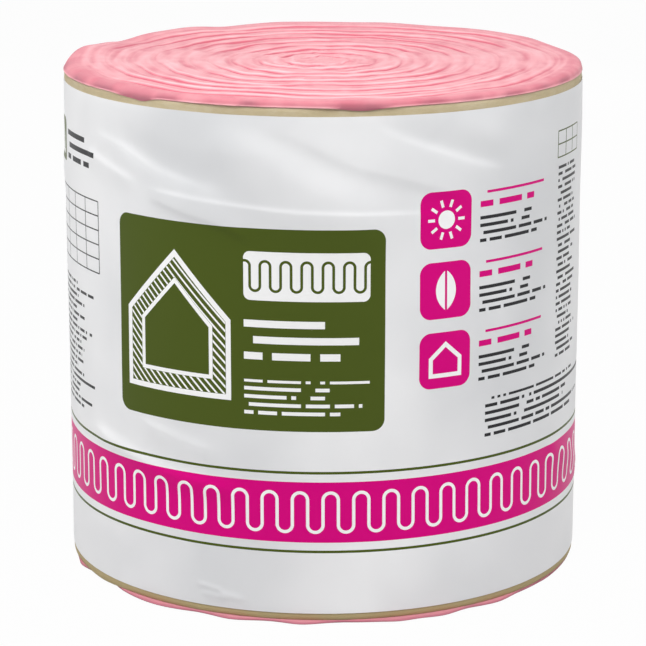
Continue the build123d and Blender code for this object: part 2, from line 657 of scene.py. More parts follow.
    def leaf(self, centre: Spot, length: float) -> Socket:
        """Shapes an upright leaf with a bare midrib, where two discs cross.

        Args:
            centre: Its middle.
            length: Its length from tip to tip.

        Returns:
            The mask.
        """
        offset_share, rib = 0.32, 1.8
        shift = offset_share * length
        radius = math.hypot(shift, length / 2)
        masks = []
        for side in (-shift, shift):
            reach = self.reach((centre[0] + side, centre[1]))
            masks.append(work_out(self.tree, MATH, reach, ("LESS_THAN", radius)))
        across = self.local(centre)[0]
        beside_rib = work_out(self.tree, MATH, across, ("ABSOLUTE",), ("GREATER_THAN", rib / 2))
        return self.within(*masks, beside_rib)

    def table(self, corner: Spot, cell: Spot, count: tuple[int, int]) -> Socket:
        """Shapes the lines of a table.

        Args:
            corner: Its lower left corner.
            cell: The width and height of a cell.
            count: How many cells it has across and up.

        Returns:
            The mask.
        """
        stroke = 1.0
        across, up = self.local(corner)
        size = (cell[0] * count[0], cell[1] * count[1])
        centre = (corner[0] + size[0] / 2, corner[1] + size[1] / 2)
        lines = []
        for distance, step in ((across, cell[0]), (up, cell[1])):
            nearest = work_out(self.tree, MATH, distance, ("WRAP", step / 2, -step / 2))
            lines.append(work_out(self.tree, MATH, nearest, ("COMPARE", 0.0, stroke / 2)))
        either = work_out(self.tree, MATH, lines[0], ("MAXIMUM", lines[1]))
        frame = self.tile(centre, (size[0] + stroke, size[1] + stroke), stroke)
        return self.within(either, frame)


@dataclass(frozen=True)
class PrintedFilm:
    """White polyethylene film, blown and printed in flat inks.

    To the eye it is opaque white with a satin gloss, so that every crease shows as a soft light line. It is
    painted a little greyer in broad clouds and bands round the roll, as painted shade. The print is
    generic:
    a section of a house, the wave that stands for insulation on drawings, and small print as broken lines
    with no letters.
    """

    sizes: RollSizes
    lap: float
    # the grey of the film's painted shade
    film_shade: str = "#dbdcde"
    roughness: float = 0.36
    grain_size: float = 7.0  # mm, the film's faint unevenness
    cloud_size: float = 110.0  # mm across a cloud of the film's painted shade
    lit_bands: int = 5  # bands round the roll painted whiter, as painted light
    band_shift: float = 0.7  # radians of a lit band, from the front to the right
    band_share: float = 0.6  # how much the lit bands count, beside the clouds
    seam_width: float = 9.0  # mm, the bare strip along the lap's free edge
    repeats: int = 2  # times that the design goes round the roll
    loops: int = 56  # in one repeat of the ribbon

    def draw_ribbon(self, plate: WrapPrint, repeat: float) -> None:
        """Draws the ribbon of loops above the film's foot, between two thin lines.

        Args:
            plate: The print to draw on.
            repeat: The length of the design round the roll.
        """
        middle, to_line = 78.0, 30.0
        plate.paint(plate.stripe(middle, width=46.0), Ink.MAGENTA)
        plate.paint(plate.wave(middle, swing=15.0, loop=repeat / self.loops, stroke=2.4), Ink.WHITE)
        for height in (middle - to_line, middle + to_line):
            plate.paint(plate.stripe(height, width=2.0), Ink.OLIVE)

    def draw_panel(self, plate: WrapPrint) -> None:
        """Draws the panel: a house whose walls and roof are filled, a sample of batt and small print.

        Args:
            plate: The print to draw on.
        """
        plate.paint(plate.tile(centre=(-62, 214), size=(214, 150), corner=9), Ink.OLIVE)
        section = plate.house(foot=(-114, 160), width=92, eaves=60, ridge=108)
        outer_skin = plate.outline(section, depth=2.0, stroke=4.0)
        inner_skin = plate.outline(section, depth=16.0, stroke=3.0)
        filling = plate.outline(section, depth=9.3, stroke=10.0)
        for mask in (outer_skin, inner_skin, plate.within(filling, plate.hatch(pitch=6.0, width=2.0))):
            plate.paint(mask, Ink.WHITE)
        sample_height = 254.0
        sample = plate.tile(centre=(-12, sample_height), size=(92, 36), corner=5)
        loops = plate.wave(sample_height, swing=11, loop=7.6, stroke=2.0)
        plate.paint(sample, Ink.WHITE)
        plate.paint(plate.within(sample, loops), Ink.OLIVE)
        plate.paint(plate.ruled_lines(corner=(-58, 192), size=(92, 34), pitch=12, dash=7), Ink.WHITE)
        plate.paint(plate.ruled_lines(corner=(-58, 151), size=(92, 26), pitch=6, dash=3.5), Ink.WHITE)

    def draw_tiles(self, plate: WrapPrint) -> None:
        """Draws a column of picture tiles beside the panel, each with a heading and small print.

        Args:
            plate: The print to draw on.
        """
        middle, text_left = 92, 121
        hut = plate.house(foot=(middle, 175), width=27, eaves=15, ridge=27)
        pictures = {
            292: plate.sun((middle, 292), radius=15),
            240: plate.leaf((middle, 240), length=30),
            188: plate.outline(hut, depth=1.6, stroke=3.2),
        }
        for height, picture in pictures.items():
            heading = plate.ruled_lines((text_left, height + 6), size=(74, 12), pitch=10, dash=6)
            small_print = plate.ruled_lines((text_left, height - 20), size=(80, 22), pitch=5.6, dash=3)
            plate.paint(plate.tile((middle, height), size=(42, 42), corner=9), Ink.MAGENTA)
            plate.paint(picture, Ink.WHITE)
            plate.paint(heading, Ink.MAGENTA)
            plate.paint(small_print, Ink.CHARCOAL)

    def draw_margins(self, plate: WrapPrint) -> None:
        """Draws what fills the rest of the film: two tables, a badge and columns of small print.

        Args:
            plate: The print to draw on.
        """
        plate.paint(plate.table(corner=(212, 322), cell=(15, 10), count=(3, 2)), Ink.OLIVE)
        plate.paint(plate.table(corner=(-308, 236), cell=(22, 11), count=(5, 5)), Ink.CHARCOAL)
        plate.paint(plate.tile(centre=(-290, 326), size=(40, 34), corner=6), Ink.OLIVE)
        badge = plate.house(foot=(-290, 314), width=24, eaves=13, ridge=25)
        plate.paint(plate.outline(badge, depth=1.5, stroke=3.0), Ink.WHITE)
        columns = (
            plate.ruled_lines(corner=(214, 168), size=(44, 150), pitch=5.0, dash=2.6),
            plate.ruled_lines(corner=(-262, 314), size=(66, 26), pitch=9, dash=5),
            plate.ruled_lines(corner=(-308, 124), size=(100, 100), pitch=5.0, dash=2.6),
            plate.ruled_lines(corner=(128, 124), size=(160, 30), pitch=5.6, dash=3),
        )
        for column in columns:
            plate.paint(column, Ink.CHARCOAL)

    def material(self) -> bpy.types.Material:
        """Builds the material.

        Returns:
            Satin white film with its print.
        """
        material, tree, place = new_tree("polyethylene_film_printed")
        split = add_node(tree, "ShaderNodeSeparateXYZ", {}, {0: place})
        radius = self.sizes.film_radius / MM
        repeat = TURN * radius / self.repeats
        nearness = work_out(tree, MATH, split.outputs["Y"], ("MULTIPLY", -1.0))
        heading = work_out(tree, MATH, split.outputs["X"], ("ARCTAN2", nearness))
        round_film = work_out(tree, MATH, heading, ("MULTIPLY", radius))
        across = work_out(tree, MATH, round_film, ("WRAP", repeat / 2, -repeat / 2))
        up = work_out(tree, MATH, split.outputs["Z"], ("SUBTRACT", self.sizes.film_bottom / MM))
        spot = add_node(tree, "ShaderNodeCombineXYZ", {}, {"X": across, "Y": up}).outputs[0]

        # Painted light and shade: lift is how white the film is painted, greyed in broad clouds and lit in
        # bands round the roll.
        cloud_inputs = {"Vector": place, "Scale": 1 / self.cloud_size, "Detail": 2.0}
        clouds = add_node(tree, NOISE, {}, cloud_inputs).outputs[0]
        clear_inputs = {"Value": clouds, "From Min": 0.38, "From Max": 0.62}
        clear = add_node(tree, "ShaderNodeMapRange", {}, clear_inputs).outputs[0]
        lit_band = work_out(tree, MATH, heading, ("MULTIPLY_ADD", self.lit_bands, -self.band_shift))
        lit_band = work_out(tree, MATH, lit_band, ("COSINE",), ("MULTIPLY_ADD", 0.5, 0.5))
        lift_inputs = {"Factor": self.band_share, "A": clear, "B": lit_band}
        lift = add_node(tree, "ShaderNodeMix", {}, lift_inputs).outputs[0]
        layers = {"Factor": lift, UNDER: linear(self.film_shade), OVER: linear(Ink.BARE.value)}
        bare = add_node(tree, "ShaderNodeMix", COLOUR_MIX, layers).outputs[BLEND]

        plate = WrapPrint(tree, spot, bare)
        self.draw_ribbon(plate, repeat)
        self.draw_panel(plate)
        self.draw_tiles(plate)
        self.draw_margins(plate)
        seam_middle = self.lap / MM - math.pi * radius - self.seam_width / 2
        seam = work_out(tree, MATH, round_film, ("COMPARE", seam_middle, self.seam_width / 2))
        layers = {"Factor": seam, UNDER: plate.colour, OVER: bare}
        colour = add_node(tree, "ShaderNodeMix", COLOUR_MIX, layers).outputs[BLEND]

        grain_inputs = {"Vector": place, "Scale": 1 / self.grain_size, "Detail": 2.0}
        grain = add_node(tree, NOISE, {}, grain_inputs).outputs[0]
        looks = {"Base Color": colour, "Roughness": self.roughness, "IOR": 1.5, "Specular IOR Level": 0.1}
        end_in_surface(tree, looks, {"Strength": 0.06, "Distance": 0.5 * MM, "Height": grain})
        return material


@dataclass(frozen=True)
class WoundEnd:
    """The turns on an end of the roll, divided by one groove that winds in from the batt's tail.

    At the front and back the turns stand open, and some are split. At the left and right they are pressed
    smooth, and the groove is a soft hollow. A tone of painted light and shade goes with the relief: painted
    shade low in a groove, a painted highlight high on a lip.
    """

    wool_radius: float
    turn_pitch: float = 19.5 * MM
    tail_thickness: float = 11.5 * MM
    wander: tuple[Unevenness, ...] = (
        Unevenness(0, 3.5 * MM, 1.4, 55 * MM),
        Unevenness(0, 1.4 * MM, 4.0, 24 * MM, 7),
        Unevenness(0, 0.7 * MM, 9.0, 12 * MM, 13),
    )  # how far the groove strays from a true spiral

    # The groove and the edges beside it, with painted shade in the groove and a painted highlight on the
    # lip
    groove_depth: float = 2.4 * MM
    groove_strength: Unevenness = Unevenness(0.75, 0.8, 2.2, 14 * MM, 31)
    groove_limits: Range = (0.2, 1.25)
    groove_start: Range = (0.0, math.radians(30))  # angles over which it deepens, at the tail
    groove_end: Range = (5.0 * MM, 16.0 * MM)  # radii over which it fades out, at the heart
    shut_share: float = 0.1  # what is left of it where the turns are pressed
    steep_edge: float = 1.0 * MM  # how soon a turn levels out on its two sides of a groove
    gentle_edge: float = 7.0 * MM
    # painted shade on the turns' edges beside the groove
    edge_tone: float = 0.35
    core_width: float = 0.9 * MM  # the line of painted shadow down in a groove
    core_tone: Range = (1.2, 1.0)  # that painted shadow's strength, at the back and at the front
    lip_height: float = 0.5 * MM
    lip_place: float = 2.0 * MM  # from the groove
    lip_width: float = 1.2 * MM
    lip_tone: Range = (0.75, 1.1)  # the lip's painted highlight, at the back and at the front

    # The splits within a turn
    split_place: Unevenness = Unevenness(0.5, 0.12, 2.0, 30 * MM, 71)  # in turns from the groove
    split_strength: Unevenness = Unevenness(0.15, 0.9, 1.1, 13 * MM, 97)
    split_limits: Range = (0.0, 0.6)
    split_start: Range = (0.0, 0.3)  # turns from the tail

    # The wool between the grooves, with painted light where its layers and lumps rise and painted shade
    # where they sink
    layering: Unevenness = Unevenness(0, 3.0, 1.2, 5.5 * MM, 53)  # a layer's edge is where it is near 0
    layer_height: float = 0.35 * MM
    layer_tone: float = 0.2
    lump_height: float = 0.55 * MM
    lump_width: float = 8.0 * MM
    lump_length: float = 34.0 * MM
    lump_seed: float = 4.5
    lump_tone: float = 0.45
    lumps_lost: float = 0.7  # where the turns stand open
    turn_wave: Unevenness = Unevenness(0, 0.8 * MM, 4.5, 15 * MM, 61)  # along a turn

    # Where the turns stand open, and where they are pressed
    front_range: Range = (-0.5, 0.5)  # sines of the angle, from leaning as at the back to as at the front
    open_range: Range = (0.1, 0.8)  # sines of the angle, from pressed to open
    opening: Unevenness = Unevenness(0, 0.3, 2.5, 18 * MM, 19)  # what is added to that sine
    pressing: Unevenness = Unevenness(0.7, 0.7, 3.0, 20 * MM, 43)
    pressed_tone: float = 0.1
    hollow_width: float = 4.5 * MM
    hollow_depth: float = 0.5 * MM
    # painted shade in the soft hollow where the turns are pressed
    hollow_tone: float = 0.5

    # The end as a whole
    heart_range: Range = (5.0 * MM, 24.0 * MM)  # radii over which the relief grows
    half_range: Range = (0.1, 0.45)  # shares of the radius, from the middle to the near or far half
    near_tone: float = 0.1  # how much deeper the near and far halves are painted, as painted shade
    far_tone: float = 0.17
    tone_limit: float = 1.2

    def phase(self, angles: np.ndarray, radii: np.ndarray) -> np.ndarray:
        """Counts the turns from the batt's tail in to a place, wandering a little as a soft roll does.

        Args:
            angles: Angles round the roll.
            radii: Distances from the axis.

        Returns:
            The turns. The groove is at each whole number.
        """
        start = self.wool_radius - self.tail_thickness
        wander = sum(drift.at(angles, radii) for drift in self.wander)
        return (start - radii - wander) / self.turn_pitch - angles / TURN

    def edges(self, inward: np.ndarray, front: np.ndarray) -> tuple[np.ndarray, np.ndarray]:
        """Shapes the two edges of the turns beside a groove. The wool leans to the front.

        Args:
            inward: Distances from the groove towards the axis.
            front: 1 on the front half of the roll, 0 on the back half.

        Returns:
            The height above the plain end face, and the tone: painted shade by the groove and a painted
            highlight on the lip.
        """
        steep, gentle = self.steep_edge, self.gentle_edge
        width = np.where(inward < 0, steep + (gentle - steep) * front, gentle + (steep - gentle) * front)
        cut = np.exp(-np.abs(inward) / width)
        leaning = inward * (2 * front - 1)
        lip = np.exp(-(((leaning - self.lip_place) / self.lip_width) ** 2))
        core = np.exp(-((inward / self.core_width) ** 2))
        tones = (self.lip_tone, self.core_tone)
        lip_tone, core_tone = ((1 - front) * back + front * fore for back, fore in tones)
        tone = lip_tone * lip - core_tone * core - self.edge_tone * cut
        return self.lip_height * lip - self.groove_depth * cut, tone

    def relief(self, angles: np.ndarray, radii: np.ndarray) -> tuple[np.ndarray, np.ndarray]:
        """Works out how the turns rise and fall.

        Args:
            angles: Angles round the roll.
            radii: Distances from the axis.

        Returns:
            The height above the plain end face, and the tone, which is painted light and shade.
        """
        sine, cosine = np.sin(angles), np.cos(angles)
        phase = self.phase(angles, radii)
        groove = np.maximum(np.round(phase), 0)
        inward = (phase - groove) * self.turn_pitch
        split = phase + self.split_place.at(angles, radii)
        split_inward = (split - np.round(split)) * self.turn_pitch
        front = smoothstep(*self.front_range, sine)
        opened = smoothstep(*self.open_range, np.abs(sine) + self.opening.at(angles, radii))

        strength = np.clip(self.groove_strength.at(angles, radii), *self.groove_limits)
        strength *= np.where(groove < 1, smoothstep(*self.groove_start, angles), 1.0)
        strength *= smoothstep(*self.groove_end, radii) * (self.shut_share + (1 - self.shut_share) * opened)
        split_strength = np.clip(self.split_strength.at(angles, radii), *self.split_limits)
        split_strength *= opened * smoothstep(*self.split_start, phase)
        edge, edge_tone = self.edges(inward, front)
        split_edge, split_tone = self.edges(split_inward, front)

        layers = np.clip(1 - np.abs(self.layering.at(angles, radii)), -1, 1)
        across, along = radii * cosine / self.lump_width, radii * sine / self.lump_length
        lumps = smooth_noise(across, along, self.lump_seed) * (1 - self.lumps_lost * opened)
        pressed = (1 - opened) * np.clip(self.pressing.at(angles, radii), 0, 1)
        hollow = np.exp(-((inward / self.hollow_width) ** 2))
        grown = smoothstep(*self.heart_range, radii)

        relief = strength * edge + split_strength * split_edge
        relief += self.layer_height * layers + self.lump_height * lumps
        relief += self.turn_wave.at(angles, radii) - self.hollow_depth * pressed * hollow
        # The tone paints light and shade that follows the relief.
        tone = strength * edge_tone + split_strength * split_tone
        tone += self.layer_tone * layers + self.lump_tone * lumps
        tone += pressed * (self.pressed_tone - self.hollow_tone * hollow)
        nearness = sine * radii / self.wool_radius
        tone = tone * grown
        tone -= self.near_tone * smoothstep(*self.half_range, nearness)
        tone -= self.far_tone * smoothstep(*self.half_range, -nearness)
        return relief * grown, np.clip(tone, -self.tone_limit, self.tone_limit)


def wool_zone(angles: np.ndarray, *values: np.ndarray | float) -> np.ndarray:
    """Lays out one zone of the wool's skin.

    Args:
        angles: Angles of the columns.
        values: The radii, heights, tones and rim shares, which broadcast together.

    Returns:
        The four values, each with one row a ring and one column an angle.
    """
    return np.stack(np.broadcast_arrays(*values, angles[None, :])[:-1])


@dataclass(frozen=True)
class WoolTop:
    """The top of the wool, from the crest of its rim in to its heart."""

    sizes: RollSizes
    turns: WoundEnd
    ring_count: int = 230
    ring_samples: int = 400  # places along a column that are weighed to space its rings
    ring_crowding: float = 3.0  # how much closer the rings are in a groove than between grooves
    crowding_reach: float = 2.0 * MM
    heart_radius: float = 1.5 * MM
    shoulder: float = 5.0 * MM  # how far in the round of the rim reaches, at the front and back
    shoulder_left: float = 6.0 * MM  # what the left and right add to that
    shoulder_right: float = 4.0 * MM
    left_power: float = 1.5  # how sharply the shoulder grows towards the left and right
    right_power: float = 2.0
    settling: float = 0.6 * MM  # how far the top lies below the plain solid's
    tilt: float = 1.2 * MM  # how much lower the front is than the middle
    dish: float = 1.4 * MM  # how much lower the middle is than the rim
    lump_height: float = 1.2 * MM
    lump_size: float = 70.0 * MM
    lump_seed: float = 2.5
    rim_drift: Unevenness = Unevenness(0, 0.9 * MM, 5.0, seed=8.5)
    rim_waves: tuple[RimStretch, ...] = (
        RimStretch(350, 8, 3.6 * MM),
        RimStretch(327, 5.5, -1.8 * MM),
        RimStretch(308, 10, 1.7 * MM),
        RimStretch(296, 5, -0.8 * MM),
        RimStretch(278, 10, 0.8 * MM),
        RimStretch(211, 7, 0.4 * MM),
        RimStretch(199, 9, -0.9 * MM),
    )
    wave_range: Range = (0.72, 0.97)  # shares of the radius over which the rim's waves grow
    crest_width: float = 5.0 * MM  # where the turns fade out at the crest
    # painted shade on the rim's round, where the turns fade out at the crest
    crest_shade: float = -0.35

    def crest(self, angles: np.ndarray) -> np.ndarray:
        """Works out the radius of the crest: most at the front and back, and least at the left.

        Args:
            angles: Angles round the roll.

        Returns:
            Distances from the axis.
        """
        left, right = np.maximum(np.cos(angles), 0), np.maximum(-np.cos(angles), 0)
        sides = self.shoulder_left * left**self.left_power + self.shoulder_right * right**self.right_power
        return self.sizes.wool_radius - (self.shoulder + sides)

    def crown(self, angles: np.ndarray, radii: np.ndarray) -> np.ndarray:
        """Works out the plain height of the top, before its turns.

        Args:
            angles: Angles round the roll.
            radii: Distances from the axis.

        Returns:
            Heights above the floor.
        """
        share = radii / self.sizes.wool_radius
        across, along = radii * np.cos(angles), radii * np.sin(angles)
        lumps = smooth_noise(across / self.lump_size, along / self.lump_size, self.lump_seed)
        waves = self.rim_drift.at(angles) + sum(wave.along(angles) for wave in self.rim_waves)
        plain = self.sizes.wool_top - self.settling - self.tilt * share * np.sin(angles)
        plain = plain - self.dish * (1 - share**2)
        return plain + self.lump_height * lumps + waves * smoothstep(*self.wave_range, share)

    def rings(self, angles: np.ndarray) -> np.ndarray:
        """Places the rings of the top, closer together beside the grooves.

        Args:
            angles: Angles of the columns.

        Returns:
            Radii, one row a ring from the crest inward and one column an angle.
        """
        crest = self.crest(angles)
        radii = crest + (self.heart_radius - crest) * np.linspace(0, 1, self.ring_samples)[:, None]
        phase = self.turns.phase(angles[None, :], radii)
        from_groove = np.abs(phase - np.maximum(np.round(phase), 0)) * self.turns.turn_pitch
        weight = 1 + self.ring_crowding * np.exp(-from_groove / self.crowding_reach)
        passed = np.cumsum(weight, axis=0)
        passed = (passed - passed[0]) / (passed[-1] - passed[0])
        levels = np.linspace(0, 1, self.ring_count)
        columns = [np.interp(levels, *column) for column in zip(passed.T, radii.T)]
        return np.stack(columns, axis=1)

    def zone(self, angles: np.ndarray) -> np.ndarray:
        """Lays out the top, from the crest in.

        Args:
            angles: Angles of the columns.

        Returns:
            Radii, heights, tones and rim shares.
        """
        radii = self.rings(angles)
        relief, tone = self.turns.relief(angles[None, :], radii)
        inside = smoothstep(0.0, self.crest_width, radii[0] - radii)
        heights = self.crown(angles[None, :], radii) + relief * inside
        # the turns' painted light and shade, fading into the crest's painted shade
        return wool_zone(angles, radii, heights, tone * inside + self.crest_shade * (1 - inside), 0.0)


@dataclass(frozen=True)
class WoolRim:
    """The soft rim of the wool, from the paper's top edge up to the crest. It droops in lobes."""

    sizes: RollSizes
    top: WoolTop
    ring_count: int = 17
    tuck: float = 0.45  # how far, in radians, the rim turns in under its widest place
    lobes: tuple[RimStretch, ...] = (
        RimStretch(45.5, 4.5, 1.5 * MM),
        RimStretch(49.5, 2.6, 2.1 * MM),
        RimStretch(98, 5, 2.2 * MM),
    )
    foot_gap: float = 0.3 * MM  # above the paper's edge
    seat: float = 0.6 * MM  # how far out the rim sits on the paper's edge, past the wool's plain radius
    seat_slope: float = 0.6  # how far out it goes as it droops
    seat_droop: float = 1.0 * MM  # no more than this droop counts
    reach_sides: float = 0.2 * MM  # the rim's widest place at the left and right, past the plain radius
    reach_front: float = 0.9 * MM  # what the front and back add to that
    reach_drift: Unevenness = Unevenness(0, 0.8 * MM, 6.0, seed=3.5)
    reach_least: float = 0.1 * MM  # past the seat
    overhang: float = 0.9 * MM  # what a lobe adds to the reach
    overhang_droop: float = 0.6 * MM  # how soon it does
    swelling: Unevenness = Unevenness(0.4, 2.2, 9.0, seed=9.5)  # from a flat rim at 0 to a swollen one at 1
    swollen_droop: float = 2.0 * MM  # the droop of a fully swollen lobe
    widest_flat: float = 0.02  # how far up the widest place is, as a share of the rim's height
    widest_swollen: float = 0.36  # what swelling adds to that
    power_front: float = 0.62  # how full the rim's round is: the less, the fuller
    power_left: float = 0.38  # what the left adds to that
    bead_place: float = 0.4 * MM  # the thin pale bead along the paper, which a lobe covers
    bead_width: float = 0.6 * MM
    bead_height: float = 0.7 * MM
    # the bead's painted highlight
    bead_tone: float = 0.7
    bead_droop: Range = (0.4 * MM, 1.4 * MM)
    dull_flat: float = 0.2  # how much painted shade the rim's foot gets where it is flat, of 1 where it is swollen
    shade_power: float = 0.7  # how soon the painted shade clears towards the crest
    # how much the painted shade deepens the rim's tone
    shade_tone: float = 0.3

    def zone(self, angles: np.ndarray) -> np.ndarray:
        """Lays out the rim, from the paper up.

        Args:
            angles: Angles of the columns.

        Returns:
            Radii, heights, tones and rim shares.
        """
        plain, facing = self.sizes.wool_radius, np.abs(np.sin(angles))
        turn = np.linspace(-self.tuck, math.pi / 2, self.ring_count + 1)[:-1, None]
        crest = self.top.crest(angles)
        droop = sum(lobe.along(angles) for lobe in self.lobes)
        swollen = np.maximum(self.swelling.at(angles), droop / self.swollen_droop)
        swollen = np.clip(swollen, 0, 1)
        seat = plain + self.seat + self.seat_slope * np.minimum(droop, self.seat_droop)
        overhang = self.overhang * (1 - np.exp(-droop / self.overhang_droop))
        reach = plain + self.reach_sides + self.reach_front * facing + overhang
        reach = reach + self.reach_drift.at(angles)
        reach = np.maximum(reach, seat + self.reach_least)

        low, high = self.sizes.paper_top + self.foot_gap - droop, self.top.crown(angles, crest)
        power = self.power_front + self.power_left * np.maximum(np.cos(angles), 0)
        widest = low + (self.widest_flat + self.widest_swollen * swollen * facing) * (high - low)
        below = widest + (widest - low) * np.sin(turn) / math.sin(self.tuck)
        above = widest + (high - widest) * np.abs(np.sin(turn)) ** power
        heights = np.where(turn < 0, below, above)
        radii = crest + (reach - crest) * np.cos(turn) ** power
        radii = np.where(turn < 0, np.maximum(radii, seat), radii)

        # a painted highlight along the bead, and painted shade that is deepest at the rim's foot
        bead = np.exp(-(((heights - low - self.bead_place) / self.bead_width) ** 2))
        bead = bead * (1 - smoothstep(*self.bead_droop, droop))
        share = (heights - low) / (high - low)
        most_shade = self.dull_flat + (1 - self.dull_flat) * swollen
        painted_shade = (1 - share) ** self.shade_power * (1 - bead) * most_shade
        tone = self.bead_tone * bead + self.top.crest_shade - self.shade_tone * painted_shade
        return wool_zone(angles, radii + self.bead_height * bead, heights, tone, painted_shade)


@dataclass(frozen=True)
class WoolFoot:
    """The foot of the wool, out to the paper's lower edge, where it is squeezed out in bulges."""

    sizes: RollSizes
    turns: WoundEnd
    ring_count: int = 29
    edge_ring_count: int = 9
    heart_radius: float = 2.0 * MM
    edge_width: float = 5.0 * MM
    relief_share: float = 0.6  # of the top's relief, because the roll stands on it
    bulge: float = 1.0 * MM
    bulging: Unevenness = Unevenness(0, 4.0 * MM, 5.0, seed=5.5)  # added to the bulge where over 0
    bulge_range: Range = (0.3, 0.75)  # sines of the angle, from no bulge at the left and right
    bulges: tuple[RimStretch, ...] = (
        RimStretch(20, 4, 2.5 * MM),
        RimStretch(32, 7, -6.0 * MM),
        RimStretch(50, 8, 2.0 * MM),
        RimStretch(70.5, 5, 5.0 * MM),
        RimStretch(85.5, 4.5, 5.5 * MM),
        RimStretch(106, 5, 5.5 * MM),
        RimStretch(115.5, 5, 5.5 * MM),
        RimStretch(130, 4.5, 2.5 * MM),
    )
    paper_gap: float = 0.2 * MM  # below the paper's edge
    tuck_in: float = 0.1 * MM  # behind the paper
    pale_range: Range = (0.5 * math.pi, 0.85 * math.pi)  # over the round of the edge, from its underside up
    # painted shade on the underside of the edge, next to the floor, lightening up its round
    under_tone: float = -0.9
    pale_tone: float = -0.1
    under_shade: float = 1.4
    upper_shade: float = 0.55

    def zones(self, angles: np.ndarray) -> list[np.ndarray]:
        """Lays out the flat foot, from its middle, and then the round of its edge.

        Args:
            angles: Angles of the columns.

        Returns:
            Radii, heights, tones and rim shares of the two zones.
        """
        plain = self.sizes.wool_radius
        edge = plain - self.edge_width
        flat_radii = np.linspace(self.heart_radius, edge, self.ring_count)[:, None]
        relief, tone = self.turns.relief(angles[None, :], flat_radii)
        flat = wool_zone(angles, flat_radii, np.maximum(-self.relief_share * relief, 0.0), tone, 0.0)

        turn = np.linspace(0, math.pi, self.edge_ring_count + 1)[1:, None]
        bulge = self.bulge + np.maximum(self.bulging.at(angles), 0)
        bulge = bulge * smoothstep(*self.bulge_range, np.abs(np.sin(angles)))
        reach = plain + bulge + sum(stretch.along(angles) for stretch in self.bulges)
        inner = np.where(turn < math.pi / 2, edge, plain - self.tuck_in)
        heights = (self.sizes.paper_bottom - self.paper_gap) * (1 - np.cos(turn)) / 2
        # painted shade, deepest on the underside
        pale = smoothstep(*self.pale_range, turn)
        tone = self.under_tone + (self.pale_tone - self.under_tone) * pale
        painted_shade = self.under_shade + (self.upper_shade - self.under_shade) * pale
        return [flat, wool_zone(angles, inner + (reach - inner) * np.sin(turn), heights, tone, painted_shade)]


@dataclass
class WoolRoll:
    """The rolled batt: one skin over its foot, the wall behind the paper, its rim and its top."""

    sizes: RollSizes
    columns: int = 330
    wall_ring_count: int = 9
    wall_gap: float = 0.1 * MM  # behind the paper, and below each of its edges
    waist: float = 3.4 * MM  # how far the wool is squeezed in under the film

    def wall(self, angles: np.ndarray) -> np.ndarray:
        """Lays out the wall behind the paper, squeezed in a little.

        Args:
            angles: Angles of the columns.

        Returns:
            Radii, heights, tones and rim shares.
        """
        share = np.linspace(0, 1, self.wall_ring_count)[:, None]
        low, high = self.sizes.paper_bottom - self.wall_gap, self.sizes.paper_top - self.wall_gap
        radii = self.sizes.wool_radius - self.wall_gap - self.waist * np.sqrt(np.sin(math.pi * share))
        return wool_zone(angles, radii, low + (high - low) * share, 0.0, 0.0)

    def build(self) -> bpy.types.Object:
        """Makes the wool's skin.

        Returns:
            The wool, on its body.
        """
        angles = np.linspace(0, TURN, self.columns, endpoint=False)
        turns = WoundEnd(self.sizes.wool_radius)
        top = WoolTop(self.sizes, turns)
        rim = WoolRim(self.sizes, top)
        zones = WoolFoot(self.sizes, turns).zones(angles)
        zones += [self.wall(angles), rim.zone(angles), top.zone(angles)]
        radii, heights, tone, painted_shade = np.concatenate(zones, axis=1)
        rows = len(radii)
        points = around(angles, radii, heights).reshape(-1, 3)
        foot_middle, top_middle = len(points), len(points) + 1
        middles = np.array([(0, 0, heights[0].mean()), (0, 0, heights[-1].mean())])
        faces = strip_faces(rows, self.columns, False, True)
        last = (rows - 1) * self.columns
        for column in range(self.columns):
            right = (column + 1) % self.columns
            faces.append((foot_middle, right, column))
            faces.append((top_middle, last + column, last + right))
        piece = grid_object("wool_batt", np.vstack((points, middles)), faces)
        # crest holds the turns' painted light and shade, rim how much painted shade the rim and foot get
        for name, values in (("crest", tone), ("rim", painted_shade)):
            attribute = piece.data.attributes.new(name, "FLOAT", "POINT")
            attribute.data.foreach_set("value", np.append(values.ravel(), (0.0, 0.0)))
        piece.data.materials.append(GlassWool().material())
        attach(piece, "root")
        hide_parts("wool_roll")
        return piece


